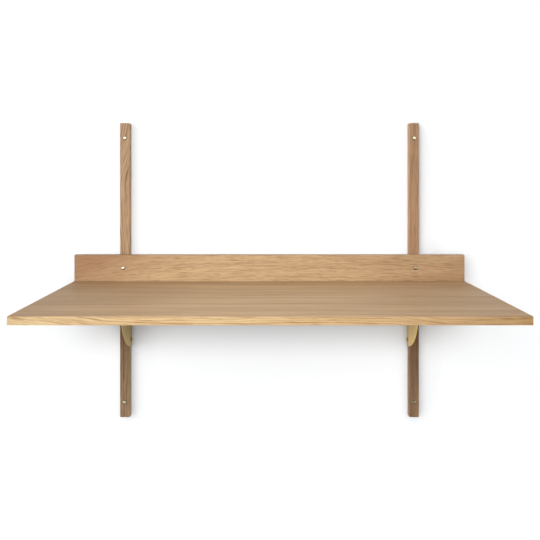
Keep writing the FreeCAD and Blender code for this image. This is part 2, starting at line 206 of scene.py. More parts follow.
def one_sided_white(name, strength):
    finish, tree = new_finish(name)
    facing = add_node(tree, "ShaderNodeNewGeometry").outputs["Backfacing"]
    front = sum_of(tree, "SUBTRACT", 1.0, facing)
    shown = sum_of(tree, "MULTIPLY", seen_by_eye(tree), front)
    under_top, over_top = (UNDER_TOP, UNDER_TOP_ALONG), (OVER_TOP, OVER_TOP_ALONG)
    right = contact_shade(tree, CORNER_REACH, RIGHT_LEAN, under_top, over_top)
    left = contact_shade(tree, CORNER_REACH, LEFT_LEAN, (LEFT_SIDE, LEFT_SIDE_ALONG))
    edge = contact_shade(tree, EDGE_REACH, RIGHT_LEAN, (OVER_TOP, RIGHT_EDGE_ALONG))
    shades = sum_of(tree, "ADD", right, left)
    closeness = sum_of(tree, "ADD", shades, edge, clamp=True)
    white = blended(tree, closeness, PAINT_WHITE, CORNER_WHITE)
    paint = add_node(tree, "ShaderNodeBsdfDiffuse", {"Color": white})
    glow = add_node(tree, "ShaderNodeEmission", {"Strength": strength})
    bright = add_node(tree, "ShaderNodeAddShader", {0: paint.outputs[0], 1: glow.outputs[0]})
    clear = add_node(tree, "ShaderNodeBsdfTransparent")
    inputs = {0: shown, 1: clear.outputs[0], 2: bright.outputs[0]}
    mixed = add_node(tree, "ShaderNodeMixShader", inputs)
    add_node(tree, "ShaderNodeOutputMaterial", {"Surface": mixed.outputs[0]})
    return finish


# %% Wall and floor
def stage_sheet(name, place, turn, glow):
    bm = bmesh.new()
    bmesh.ops.create_grid(bm, x_segments=1, y_segments=1, size=STAGE_HALF)
    bmesh.ops.transform(bm, matrix=Matrix.Translation(place) @ turn, verts=bm.verts)
    mesh = bpy.data.meshes.new(name)
    bm.to_mesh(mesh)
    bm.free()
    mesh.materials.append(one_sided_white(name + "_white", glow))
    sheet = bpy.data.objects.new(name, mesh)
    scene.collection.objects.link(sheet)
    return sheet


upright_turn = Matrix.Rotation(math.radians(90), 4, "X")
wall = stage_sheet("wall", (0, WALL_Y, 0), upright_turn, WALL_GLOW)
floor_place = (0, WALL_Y - STAGE_HALF, FLOOR_Z)
floor = stage_sheet("floor", floor_place, Matrix.Identity(4), FLOOR_GLOW)
print("wall at y", WALL_Y, "and floor at z", FLOOR_Z)

# %% [markdown]
# ## Light
# A soft box with a grid stands in front of the desk, a little to the left and above, and fades
# towards the ends. A broad panel fills the front. Two smaller boxes come from the left, one of
# them low, and a white card stands on the right for the faces that look that way. One more box on
# the left is linked to the right upright alone and lights its inner side. The wall and floor have
# lamps of their own, linked in the same way: a strong one from the front and two weaker ones from
# the left and the right, all low enough to leave the shade under the top. So the wall stays white,
# and the wood isn't burnt out for it. The room adds a low even light.


# %% Lamps
FULL_SPREAD = 180
SOFT_BOXES = [
    # name, place, aim, width and height, watts, spread in degrees
    ("key_box", (-0.3, -1.9, 0.95), (0.0, -0.25, 0.0), (0.9, 0.9), 9.5, 100),
    ("fill_panel", (0.0, -2.6, 0.35), (0.0, 0.0, 0.0), (2.4, 1.6), 12.0, FULL_SPREAD),
    ("side_box", (-1.9, -0.9, 0.15), (0.3, -0.05, 0.0), (0.7, 0.7), 8.0, FULL_SPREAD),
    ("low_box", (-1.8, -0.45, -0.25), (0.4, -0.07, -0.12), (0.5, 0.5), 6.0, FULL_SPREAD),
    ("right_card", (2.0, -0.35, 0.3), (-0.4, 0.0, 0.1), (0.8, 0.8), 16.0, FULL_SPREAD),
]
INNER_BOX = ("inner_box", (-1.9, -0.35, 0.75), (0.42, -0.012, 0.2), (0.4, 0.4), 29.0, FULL_SPREAD)


def soft_box(name, place, aim, size, watts, spread):
    lamp = bpy.data.lights.new(name, "AREA")
    lamp.shape = "RECTANGLE"
    lamp.size, lamp.size_y = size
    lamp.energy = watts
    lamp.spread = math.radians(spread)
    holder = bpy.data.objects.new(name, lamp)
    holder.location = place
    aim_line = Vector(aim) - Vector(place)
    holder.rotation_euler = aim_line.to_track_quat("-Z", "Y").to_euler()
    scene.collection.objects.link(holder)
    return holder


def link_light(lamp, state, *things):
    linked = bpy.data.collections.new(lamp.name + "_lights")
    for thing in things:
        linked.objects.link(thing)
    for member in linked.collection_objects:
        member.light_linking.link_state = state
    lamp.light_linking.receiver_collection = linked


for name, *settings in SOFT_BOXES:
    link_light(soft_box(name, *settings), "EXCLUDE", wall, floor)
link_light(soft_box(*INNER_BOX), "INCLUDE", solids["right_upright"])


# %% Light for the wall
WALL_LIGHTS = [
    # name, strength, then softness, height and turn to the left in degrees
    ("wall_front_light", 4.4, 20, 13.2, 0),
    ("wall_left_light", 1.8, 40, 13.0, 34),
    ("wall_right_light", 0.75, 40, 13.0, -34),
]


def wall_light(name, strength, softness, height, from_left):
    glow = bpy.data.lights.new(name, "SUN")
    glow.energy = strength
    glow.angle = math.radians(softness)
    holder = bpy.data.objects.new(name, glow)
    holder.rotation_euler = (math.radians(90 - height), 0, math.radians(-from_left))
    scene.collection.objects.link(holder)
    link_light(holder, "INCLUDE", wall, floor)


for name, *settings in WALL_LIGHTS:
    wall_light(name, *settings)

# %% Room light
WHITE = (1, 1, 1, 1)
ROOM_LIGHT = 0.17
SEEN_LIGHT = 1.0

room = bpy.data.worlds.new("room")
room.use_nodes = True
scene.world = room
room_tree = room.node_tree
room_tree.nodes.clear()
low_light = add_node(room_tree, "ShaderNodeBackground", {"Color": WHITE, "Strength": ROOM_LIGHT})
seen_light = add_node(room_tree, "ShaderNodeBackground", {"Color": WHITE, "Strength": SEEN_LIGHT})
room_inputs = {0: seen_by_eye(room_tree), 1: low_light.outputs[0], 2: seen_light.outputs[0]}
room_mix = add_node(room_tree, "ShaderNodeMixShader", room_inputs)
add_node(room_tree, "ShaderNodeOutputWorld", {"Surface": room_mix.outputs[0]})

# %% [markdown]
# ## Oak
# Oak is ring-porous: each year starts with a band of wide pores and ends in dense, smooth wood. A
# board shows those rings as lines wherever its face cuts them. A flat picture of grain would stop
# at every edge, so the finish is worked out in three dimensions, as rings round a heart line, and
# each board is a cut through that log: long lines on its faces and arcs on its ends come by
# themselves. Slow noise makes the log sway. Fine noise stretched along the grain gives broad lines
# and small flecks, and its highest parts alone give the thin dark dashes of open pores. The colour
# also drifts along a board's length.

# %% Oak finish
GRAIN_TURNS = {
    "X": (0.0, 0.0, 0.0),
    "Y": (0.0, 0.0, math.radians(-90)),
    "Z": (0.0, math.radians(90), 0.0),
}
BOARD_HALF = 0.6
EARLY_WOOD = [(0.0, 0.4), (0.08, 1.0), (0.26, 0.4), (0.5, 0.06), (0.92, 0.08), (1.0, 0.4)]
PORE_BROWN = (0.20, 0.115, 0.055, 1.0)
STRAIGHT = [(0.0, 0.0), (1.0, 0.0)]
NOISE_MEAN = 0.5


def along_board(tree, where, grain):
    distance = add_node(tree, "ShaderNodeSeparateXYZ", {0: where}).outputs[grain]
    return sum_of(tree, "DIVIDE", sum_of(tree, "ADD", distance, BOARD_HALF), 2 * BOARD_HALF)


def centred_noise(tree, place, along, across, detail=2.0):
    noise = stretched_noise(tree, place, (along, across, across), detail)
    return sum_of(tree, "SUBTRACT", noise, NOISE_MEAN)


def scaled_sum(tree, *pairs):
    total = 0.0
    for value, share in pairs:
        total = sum_of(tree, "ADD", sum_of(tree, "MULTIPLY", value, share), total)
    return total


# %% Log and year rings
SLOW_SIZE = (1.6, 7.0, 1.5)
QUICK_SIZE = (11.0, 70.0)
SEASON_SIZE = 0.37
SEASON_SHARE = 2.4
STRENGTH_SIZE = (4.0, 90.0, 90.0)
STRENGTH_STOPS = [(0.36, 0.3), (0.62, 1.0)]


def in_log(tree, where, grain, heart, bow, bow_height):
    inputs = {"Vector": where, "Location": heart, "Rotation": GRAIN_TURNS[grain]}
    straight_log = add_node(tree, "ShaderNodeMapping", inputs).outputs[0]
    bow_share = ramp_of(tree, along_board(tree, where, grain), bow, "CARDINAL")
    lift = sum_of(tree, "MULTIPLY", bow_share, bow_height)
    lift = add_node(tree, "ShaderNodeCombineXYZ", {"Z": lift}).outputs[0]
    inputs = {0: straight_log, 1: lift}
    return add_node(tree, "ShaderNodeVectorMath", inputs, operation="ADD").outputs[0]


def year_rings(tree, log, gap, sway, wobble):
    inputs = {0: log, 1: (0.0, 1.0, 1.0)}
    across = add_node(tree, "ShaderNodeVectorMath", inputs, operation="MULTIPLY").outputs[0]
    length = add_node(tree, "ShaderNodeVectorMath", {0: across}, operation="LENGTH")
    radius = length.outputs["Value"]
    slow = centred_noise(tree, log, *SLOW_SIZE)
    quick = centred_noise(tree, log, *QUICK_SIZE)
    bent = scaled_sum(tree, (radius, 1 / gap), (slow, sway / gap), (quick, wobble))
    inputs = {"W": bent, "Scale": SEASON_SIZE}
    season = add_node(tree, "ShaderNodeTexNoise", inputs, noise_dimensions="1D").outputs[0]
    years = scaled_sum(tree, (bent, 1.0), (season, SEASON_SHARE))
    early = ramp_of(tree, sum_of(tree, "FRACT", years), EARLY_WOOD)
    strength = ramp_of(tree, stretched_noise(tree, log, STRENGTH_SIZE), STRENGTH_STOPS)
    return sum_of(tree, "MULTIPLY", early, strength)


# %% Oak surface
BROAD_SIZE = (2.2, 26.0)
LINE_DETAIL = 3.0
DASH_DETAIL = 0.5
DASH_STOPS = [(0.03, 0.0), (0.17, 1.0)]
FIGURE_BASE = 0.1
PORE_SIZE = (70.0, 1500.0, 1500.0)
PORE_STOPS = [(0.54, 0.0), (0.68, 1.0)]
PORES_BETWEEN_RINGS = 0.15
PORE_SHARE = 0.5
SATIN = 0.52
SATIN_OF_PORES = 0.2
SATIN_OF_LINES = 0.14
OAK_GLOSS = 0.2
RING_DEPTH = 0.25
RELIEF_STRENGTH = 0.35
RELIEF_DEPTH = 0.0004


def oak(
    name, grain, heart, gap, pale, rosy, dark,
    bow=STRAIGHT, bow_height=0.0, sway=0.014, wobble=1.0,
    tone=STRAIGHT, drift=0.8, rings=0.4, lines=0.5, line_size=(5.0, 150.0),
    flecks=0.4, fleck_size=(26.0, 340.0), dashes=0.0, dash_size=(30.0, 380.0),
    slant=0.0, shade_axis="Y", shade=STRAIGHT,
):
    finish, tree = new_finish(name)
    where = add_node(tree, "ShaderNodeTexCoord").outputs["Object"]
    log = in_log(tree, where, grain, heart, bow, bow_height)
    early = year_rings(tree, log, gap, sway, wobble)

    broad = centred_noise(tree, log, *BROAD_SIZE)
    height = add_node(tree, "ShaderNodeSeparateXYZ", {0: where}).outputs["Z"]
    place = scaled_sum(tree, (along_board(tree, where, grain), 1.0), (height, -slant))
    tint = scaled_sum(tree, (ramp_of(tree, place, tone), 1.0), (broad, drift))
    tint = sum_of(tree, "MAXIMUM", tint, 0.0, clamp=True)
    ground = blended(tree, tint, (*pale, 1.0), (*rosy, 1.0))
    line = centred_noise(tree, log, *line_size, LINE_DETAIL)
    fleck = centred_noise(tree, log, *fleck_size)
    dash = ramp_of(tree, centred_noise(tree, log, *dash_size, DASH_DETAIL), DASH_STOPS)
    # painted shade: the shade ramp darkens the colour where shade falls, in corners and under the
    # top
    painted_shade = ramp_of(tree, along_board(tree, where, shade_axis), shade)
    figure = scaled_sum(
        tree, (early, rings), (line, lines), (fleck, flecks), (dash, dashes), (painted_shade, 1.0)
    )
    figure = sum_of(tree, "ADD", figure, FIGURE_BASE, clamp=True)
    colour = blended(tree, figure, ground, (*dark, 1.0))

    pores = ramp_of(tree, stretched_noise(tree, log, PORE_SIZE, 1.0), PORE_STOPS)
    porous = sum_of(tree, "ADD", early, PORES_BETWEEN_RINGS, clamp=True)
    pores = sum_of(tree, "MULTIPLY", pores, porous)
    colour = blended(tree, sum_of(tree, "MULTIPLY", pores, PORE_SHARE), colour, PORE_BROWN)
    satin = scaled_sum(tree, (pores, SATIN_OF_PORES), (line, SATIN_OF_LINES))
    satin = sum_of(tree, "ADD", satin, SATIN, clamp=True)
    relief = scaled_sum(tree, (pores, -1.0), (early, -RING_DEPTH))
    inputs = {"Height": relief, "Strength": RELIEF_STRENGTH, "Distance": RELIEF_DEPTH}
    bump = add_node(tree, "ShaderNodeBump", inputs).outputs[0]
    inputs = {
        "Base Color": colour,
        "Roughness": satin,
        "Specular IOR Level": OAK_GLOSS,
        "Normal": bump,
    }
    surface = add_node(tree, "ShaderNodeBsdfPrincipled", inputs)
    add_node(tree, "ShaderNodeOutputMaterial", {"Surface": surface.outputs[0]})
    return finish


def wear(finish, *names):
    for name in names:
        solids[name].data.materials.clear()
        solids[name].data.materials.append(finish)


# %% [markdown]
# ## Which cut each board is
# The front lipping is a rift cut, with bold lines that cross it at a slant, and it turns redder to
# the right. The backboard is finely lined, golden in the middle and redder at its ends, and its
# change of tone runs at a slant. The veneer is a straight-grained cut from far out in the log, with
# long streaks, and the sheet under the top is a plainer one. The left upright has a bold slanting
# figure, the right one is quiet and redder. Each has its own heart, the distance of the log's
# middle from the frame's, so no two are alike. Bow and tone are read along a board's length. The
# shade ramp is read along an axis of its own and paints shade into the colour: painted shade on the
# writing surface close to the backboard and along its front edge, and on the uprights close under
# the top. The backboard is also made a little darker towards its top edge.

# %% Oak of the desk top and backboard
front_oak = oak(
    "front_lipping_oak", "X", heart=(0.31, 0.515, -0.040), gap=0.0040,
    pale=(0.80, 0.60, 0.335), rosy=(0.605, 0.348, 0.152), dark=(0.40, 0.215, 0.085),
    bow=[(0.025, 0.0), (0.18, 0.52), (0.31, 0.68), (0.72, 0.68), (0.81, 0.96), (0.975, 1.0)],
    bow_height=0.050, sway=0.010, wobble=2.2, rings=0.8, lines=0.6,
    flecks=1.4, fleck_size=(13.0, 480.0), dashes=0.3, dash_size=(30.0, 420.0),
    tone=[(0.02, 0.0), (0.1, 0.08), (0.25, 0.28), (0.5, 0.34), (0.75, 0.5), (0.98, 0.9)],
)
end_oak = oak(
    "end_lipping_oak", "Y", heart=(0.17, 0.60, 0.055), gap=0.0032,
    pale=(0.80, 0.58, 0.32), rosy=(0.64, 0.43, 0.22), dark=(0.46, 0.28, 0.13), sway=0.020,
)
back_oak = oak(
    "backboard_oak", "X", heart=(1.70, -0.030, -0.120), gap=0.0022,
    pale=(0.62, 0.43, 0.239), rosy=(0.37, 0.195, 0.102), dark=(0.26, 0.125, 0.06),
    bow=[(0.03, 0.0), (0.16, 0.62), (0.3, 0.9), (0.55, 1.0), (0.97, 0.85)], bow_height=-0.035,
    sway=0.016, rings=0.2, lines=0.6, line_size=(4.0, 240.0), flecks=1.1, fleck_size=(20.0, 440.0),
    dashes=0.28, dash_size=(40.0, 520.0),
    # the shade ramp makes the backboard a little darker towards its top edge
    slant=2.0, shade_axis="Z", shade=[(0.5, 0.0), (0.54, 0.12)],
    tone=[
        (0.03, 0.95), (0.093, 0.55), (0.2, 0.12), (0.33, 0.0),
        (0.7, 0.0), (0.87, 0.24), (0.97, 0.5),
    ],
)
veneer_oak = oak(
    "veneer_oak", "X", heart=(2.90, 0.0, 0.60), gap=0.0016,
    pale=(0.69, 0.47, 0.262), rosy=(0.49, 0.315, 0.168), dark=(0.36, 0.21, 0.109),
    sway=0.010, rings=0.15, lines=1.4, line_size=(1.4, 36.0), flecks=2.2, fleck_size=(4.5, 220.0),
    tone=[(0.03, 1.0), (0.35, 0.15), (0.65, 0.25), (0.97, 0.8)],
    # painted shade along the front edge of the writing surface and close to the backboard
    shade=[
        (0.015, 0.25), (0.07, 0.15), (0.13, 0.05), (0.2, 0.0),
        (0.4, 0.0), (0.43, 0.2), (0.445, 0.45), (0.463, 0.6),
    ],
)
underside_oak = oak(
    "underside_oak", "X", heart=(3.70, 0.30, 0.80), gap=0.0016,
    pale=(0.70, 0.48, 0.27), rosy=(0.56, 0.37, 0.20), dark=(0.38, 0.24, 0.125),
    sway=0.010, rings=0.15, lines=1.2, line_size=(1.8, 60.0), flecks=0.8, fleck_size=(4.0, 150.0),
)
wear(front_oak, "desktop_front_lipping")
wear(end_oak, "desktop_left_lipping", "desktop_right_lipping")
wear(back_oak, "backboard")
wear(veneer_oak, "desktop_top_veneer")
wear(underside_oak, "desktop_bottom_veneer")

# %% Oak of the uprights
left_oak = oak(
    "left_upright_oak", "Z", heart=(0.40, 0.0, -0.40), gap=0.0075,
    pale=(0.50, 0.335, 0.19), rosy=(0.43, 0.255, 0.135), dark=(0.18, 0.095, 0.045),
    bow=[(0.14, 0.4), (0.46, 0.33), (0.54, 0.26), (0.71, 0.0), (0.86, 1.0)], bow_height=0.046,
    sway=0.014, wobble=1.6, rings=1.0, lines=0.6, flecks=0.9, drift=1.6,
    dashes=0.22, dash_size=(20.0, 420.0),
    # painted shade on the upright close under the top
    shade_axis="Z", shade=[(0.295, 0.0), (0.335, 0.6), (0.48, 0.6), (0.52, 0.0)],
)
right_oak = oak(
    "right_upright_oak", "Z", heart=(1.40, 0.20, 0.40), gap=0.0030,
    pale=(0.40, 0.24, 0.132), rosy=(0.33, 0.18, 0.093), dark=(0.18, 0.095, 0.05),
    sway=0.018, wobble=1.4, rings=0.5, lines=0.8, flecks=0.9, drift=1.8,
    dashes=0.3, dash_size=(20.0, 420.0),
    # painted shade on the upright close under the top
    shade_axis="Z", shade=[(0.295, 0.0), (0.345, 0.9), (0.48, 0.9), (0.52, 0.0)],
)
wear(left_oak, "left_upright")
wear(right_oak, "right_upright")
print("oak finishes:", sum(1 for finish in bpy.data.materials if "oak" in finish.name))

# %% [markdown]
# ## Hidden boards and dowels
# Inside the top lies a board of pressed wood fibres, and beech dowels line it up with the
# backboard. They show only if the desk is taken apart. Fibre board is a close speckle with no
# direction, and beech has short fine flecks along its length.


# %% Fibre board and beech
FLECK_STOPS = [(0.35, 0.0), (0.65, 1.0)]
FLECK_DETAIL = (4.0, 0.65)
FLECK_ROUGHNESS = 0.2
FLECK_STRENGTH = 0.3
FLECK_DEPTH = 0.0003


def flecked_wood(name, stretch, pale, dark, roughness):
    finish, tree = new_finish(name)
    where = add_node(tree, "ShaderNodeTexCoord").outputs["Object"]
    fleck = stretched_noise(tree, where, stretch, *FLECK_DETAIL)
    share = ramp_of(tree, fleck, FLECK_STOPS)
    colour = blended(tree, share, (*pale, 1.0), (*dark, 1.0))
    inputs = {"Height": fleck, "Strength": FLECK_STRENGTH, "Distance": FLECK_DEPTH}
    bump = add_node(tree, "ShaderNodeBump", inputs).outputs[0]
    rough = sum_of(tree, "ADD", sum_of(tree, "MULTIPLY", fleck, FLECK_ROUGHNESS), roughness)
    inputs = {"Base Color": colour, "Roughness": rough, "Normal": bump}
    surface = add_node(tree, "ShaderNodeBsdfPrincipled", inputs)
    add_node(tree, "ShaderNodeOutputMaterial", {"Surface": surface.outputs[0]})
    return finish


fibre_board = flecked_wood(
    "fibre_board",
    stretch=(500.0, 500.0, 900.0),
    pale=(0.50, 0.36, 0.23),
    dark=(0.33, 0.23, 0.14),
    roughness=0.75,
)
beech = flecked_wood(
    "beech",
    stretch=(700.0, 90.0, 700.0),
    pale=(0.68, 0.50, 0.33),
    dark=(0.52, 0.36, 0.22),
    roughness=0.55,
)
wear(fibre_board, "desktop_core")
wear(beech, "joint_dowels")
print("hidden woods:", fibre_board.name, "and", beech.name)

# %% [markdown]
# ## Brass and steel
# The brackets are brushed brass sheet, so fine parallel scratches make the gloss uneven, and
# faintly tarnished patches dull it. The left one is a darker copy of the brass, with painted
# shade, because its face is turned from the light and lies in the shade of the top. Screw heads
# are turned and polished, so they are smoother and brighter. Those in the sides of the brackets
# have a darker, more golden copy, a painted reflection of the oak and painted shade of the top.
# Round the rim of a head, where no cloth reaches, brass turns brown and dull. Each screw carries
# that as a value on its points, which the finish reads; on the lower wall screws the same value
# also holds painted shade. The same recipe with a grey colour gives the zinc plating of the
# hidden screws.


# %% Metal finish
TARNISH_BROWN = (0.13, 0.095, 0.05, 1.0)
BRUSH_DETAIL = (3.0, 0.6)
PATCH_DETAIL = (4.0, 0.6)
PATCH_SIZE = (28.0, 28.0, 28.0)
PATCH_STOPS = [(0.38, 0.0), (0.68, 1.0)]
SCRATCH_TINT = 0.5
SCRATCH_DEPTH = 0.0002
RIM_TINT = 0.9
RIM_ROUGHNESS = 0.25
BRUSH_ROUGHNESS = 0.16
PATCH_ROUGHNESS = 0.1
MEAN_ROUGHNESS = 0.13


def metal(name, stretch, bright, dull, roughness, scratch):
    finish, tree = new_finish(name)
    where = add_node(tree, "ShaderNodeTexCoord").outputs["Object"]
    brush = stretched_noise(tree, where, stretch, *BRUSH_DETAIL)
    patch = stretched_noise(tree, where, PATCH_SIZE, *PATCH_DETAIL)
    line_share = sum_of(tree, "SUBTRACT", brush, NOISE_MEAN)
    line_share = sum_of(tree, "MULTIPLY", line_share, SCRATCH_TINT)
    share = sum_of(tree, "ADD", ramp_of(tree, patch, PATCH_STOPS), line_share, clamp=True)
    colour = blended(tree, share, (*bright, 1.0), (*dull, 1.0))
    # the value on a screw's points: brown rim tarnish, and on some crowns painted shade
    rim = add_node(tree, "ShaderNodeAttribute", attribute_name="tarnish_and_shade").outputs["Fac"]
    colour = blended(tree, sum_of(tree, "MULTIPLY", rim, RIM_TINT), colour, TARNISH_BROWN)
    rough = scaled_sum(
        tree, (brush, BRUSH_ROUGHNESS), (patch, PATCH_ROUGHNESS), (rim, RIM_ROUGHNESS)
    )
    rough = sum_of(tree, "ADD", rough, roughness - MEAN_ROUGHNESS, clamp=True)
    inputs = {"Height": brush, "Strength": scratch, "Distance": SCRATCH_DEPTH}
    bump = add_node(tree, "ShaderNodeBump", inputs).outputs[0]
    inputs = {"Base Color": colour, "Metallic": 1.0, "Roughness": rough, "Normal": bump}
    surface = add_node(tree, "ShaderNodeBsdfPrincipled", inputs)
    add_node(tree, "ShaderNodeOutputMaterial", {"Surface": surface.outputs[0]})
    return finish


# %% Metals of this desk
BRUSHED = (1500.0, 1500.0, 40.0)
TURNED = (900.0, 900.0, 900.0)
PLATED = (700.0, 700.0, 700.0)
METALS = [
    # name, scratches, bright and dull colour, roughness, depth of scratches
    # darker copy for the left bracket: painted shade of its face turned from the light
    ("brass_with_painted_shade", BRUSHED, (0.54, 0.385, 0.145), (0.445, 0.315, 0.115), 0.45, 0.4),
    ("clear_brass", BRUSHED, (0.81, 0.585, 0.225), (0.675, 0.475, 0.176), 0.45, 0.4),
    ("polished_brass", TURNED, (0.92, 0.83, 0.63), (0.80, 0.69, 0.47), 0.25, 0.04),
    # darker golden copy for the side screws: painted reflection of the oak and painted shade of the
    # top
    ("brass_painted_warm_reflection", TURNED, (0.66, 0.42, 0.12), (0.52, 0.32, 0.09), 0.3, 0.04),
    ("zinc_plate", PLATED, (0.66, 0.66, 0.62), (0.52, 0.52, 0.50), 0.35, 0.08),
]
brass_with_painted_shade, clear_brass, polished_brass, brass_painted_warm_reflection, zinc_plate = [
    metal(*settings) for settings in METALS
]
wear(polished_brass, "upright_inserts")
print("metals:", [name for name, *settings in METALS])

# %% [markdown]
# ## Folded brackets
# Each bracket is one piece of sheet: a sector of a circle with a rounded toe, cut out flat, with
# its top edge folded inwards to a flange. The model is made in the same order. One corner point is
# spun into the curved rim and toe, the outline is filled, its top edge is spun round the bend and
# drawn out to the flange, and only then the sheet gets its thickness and its broken edges.

# %% Bracket sizes
SHEET = 0.0025
BEND_OUTSIDE = 0.005
SECTOR_RADIUS = 0.160
SECTOR_CENTRE = (-0.010, 0.020)
TOE_RADIUS = 0.022
HEEL_DROP = 0.008
HEEL_RADIUS = 0.004
FLANGE_START = 0.026
FLANGE_CORNER = 0.006
BROKEN_EDGE = 0.00035
RIM_STEPS = 28
TOE_STEPS = 16
HEEL_STEPS = 6
BEND_STEPS = 8
CORNER_STEPS = 6
EDGE_STEPS = 2
SHARP_ANGLE = math.radians(60)
QUARTER_TURN = math.pi / 2

sheet_low, sheet_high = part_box("right_bracket")
SIDE_X, FREE_X = sheet_high.x, sheet_low.x
UNDER_Z = sheet_high.z
REAR = -sheet_high.y


def on_side(depth, drop):
    return Vector((SIDE_X, -depth, UNDER_Z - drop))


# %% Bracket helpers
def only(kind, geometry):
    return [part for part in geometry if isinstance(part, kind)]


def spin_round(bm, geometry, centre, axis, angle, steps):
    made = bmesh.ops.spin(
        bm, geom=geometry, cent=centre, axis=axis, dvec=(0, 0, 0), angle=angle, steps=steps
    )
    return made["geom_last"]


def arc_from(bm, corner, centre, angle, steps):
    last = spin_round(bm, [corner], centre, (1, 0, 0), angle, steps)
    return only(bmesh.types.BMVert, last)[0]


def line_to(bm, corner, place):
    end = bm.verts.new(place)
    bm.edges.new((corner, end))
    return end


# %% Bracket side, bend and flange
def bracket_sheet():
    bm = bmesh.new()
    centre_depth, centre_drop = SECTOR_CENTRE
    nose_angle = -math.asin((centre_drop - BEND_OUTSIDE) / SECTOR_RADIUS)
    toe_depth = REAR + TOE_RADIUS
    toe_reach = toe_depth - centre_depth
    toe_drop = math.sqrt((SECTOR_RADIUS - TOE_RADIUS) ** 2 - toe_reach**2)
    toe_angle = math.atan2(toe_drop, toe_reach)
    nose_depth = centre_depth + SECTOR_RADIUS * math.cos(nose_angle)

    nose = bm.verts.new(on_side(nose_depth, BEND_OUTSIDE))
    rim_centre = on_side(centre_depth, centre_drop)
    corner = arc_from(bm, nose, rim_centre, toe_angle - nose_angle, RIM_STEPS)
    toe_centre = on_side(toe_depth, centre_drop + toe_drop)
    corner = arc_from(bm, corner, toe_centre, math.pi - toe_angle, TOE_STEPS)
    corner = line_to(bm, corner, on_side(REAR, HEEL_DROP + HEEL_RADIUS))
    heel_centre = on_side(REAR + HEEL_RADIUS, HEEL_DROP + HEEL_RADIUS)
    corner = arc_from(bm, corner, heel_centre, QUARTER_TURN, HEEL_STEPS)
    corner = line_to(bm, corner, on_side(FLANGE_START, HEEL_DROP))
    corner = line_to(bm, corner, on_side(FLANGE_START, BEND_OUTSIDE))
    fold = bm.edges.new((corner, nose))
    bmesh.ops.contextual_create(bm, geom=bm.edges[:])

    bend_centre = (SIDE_X - BEND_OUTSIDE, 0, UNDER_Z - BEND_OUTSIDE)
    folded = [fold, *fold.verts]
    last = spin_round(bm, folded, bend_centre, (0, 1, 0), -QUARTER_TURN, BEND_STEPS)
    drawn = bmesh.ops.extrude_edge_only(bm, edges=only(bmesh.types.BMEdge, last))["geom"]
    corners = only(bmesh.types.BMVert, drawn)
    bmesh.ops.translate(bm, verts=corners, vec=(FREE_X - SIDE_X + BEND_OUTSIDE, 0, 0))
    bmesh.ops.bevel(
        bm,
        geom=corners,
        offset=FLANGE_CORNER,
        offset_type="OFFSET",
        segments=CORNER_STEPS,
        profile=0.5,
        affect="VERTICES",
        material=-1,
    )
    return bm


# %% Bracket thickness and broken edges
def thickened(bm):
    bmesh.ops.recalc_face_normals(bm, faces=bm.faces[:])
    side_face = max(bm.faces, key=lambda face: face.calc_area())
    if side_face.normal.x < 0:
        bmesh.ops.reverse_faces(bm, faces=bm.faces[:])
    bmesh.ops.solidify(bm, geom=bm.faces[:], thickness=SHEET)
    bmesh.ops.recalc_face_normals(bm, faces=bm.faces[:])
    edges = [e for e in bm.edges if e.is_manifold and e.calc_face_angle() > SHARP_ANGLE]
    bmesh.ops.bevel(
        bm,
        geom=edges,
        offset=BROKEN_EDGE,
        offset_type="OFFSET",
        segments=EDGE_STEPS,
        profile=0.5,
        affect="EDGES",
        material=-1,
        clamp_overlap=True,
    )
    return bm


# %% Made pieces
def made_piece(bm, name, finish, slot, *replaced):
    for face in bm.faces:
        face.smooth = True
    mesh = bpy.data.meshes.new(name)
    bm.to_mesh(mesh)
    bm.free()
    mesh.materials.append(finish)
    piece = bpy.data.objects.new(name, mesh)
    scene.collection.objects.link(piece)
    even = piece.modifiers.new("even_shading", "WEIGHTED_NORMAL")
    even.keep_sharp = True
    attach(piece, "root")
    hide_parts(*replaced)
    low = [min(v.co[i] for v in mesh.vertices) for i in range(3)]
    high = [max(v.co[i] for v in mesh.vertices) for i in range(3)]
    print(name, len(mesh.polygons), "faces", [round(x, 4) for x in low + high])
    return piece


right_sheet = thickened(bracket_sheet())
left_sheet = right_sheet.copy()
bmesh.ops.scale(left_sheet, vec=(-1, 1, 1), verts=left_sheet.verts)
bmesh.ops.reverse_faces(left_sheet, faces=left_sheet.faces[:])
right_folded = made_piece(
    right_sheet, "right_folded_bracket", clear_brass, "bracket_brass", "right_bracket"
)
# the left bracket wears the darker copy of the brass, with painted shade
left_folded = made_piece(
    left_sheet, "left_folded_bracket", brass_with_painted_shade, "bracket_brass", "left_bracket"
)
print("right bracket solid", [round(x, 4) for x in (*sheet_low, *sheet_high)])

# %% [markdown]
# ## Light for the back
# Two soft boxes stand behind the wall, which lets their light through, and low enough to miss the
# writing surface. They show the backs of the boards and the inner sides of the uprights. The bright
# brackets have enough light from the front and are left out.

# %% Lamps behind the wall
BACK_X, BACK_Y, BACK_Z = 2.2, 1.8, -0.4
BACK_AIM_X = 0.2
BACK_SIZE = (0.9, 0.9)
BACK_WATTS = 22.0

for name, sign in (("back_left_box", -1), ("back_right_box", 1)):
    place, aim = (sign * BACK_X, BACK_Y, BACK_Z), (-sign * BACK_AIM_X, 0.0, 0.0)
    lamp = soft_box(name, place, aim, BACK_SIZE, BACK_WATTS, FULL_SPREAD)
    link_light(lamp, "EXCLUDE", wall, floor, left_folded, right_folded)
    print(name, "at", place)

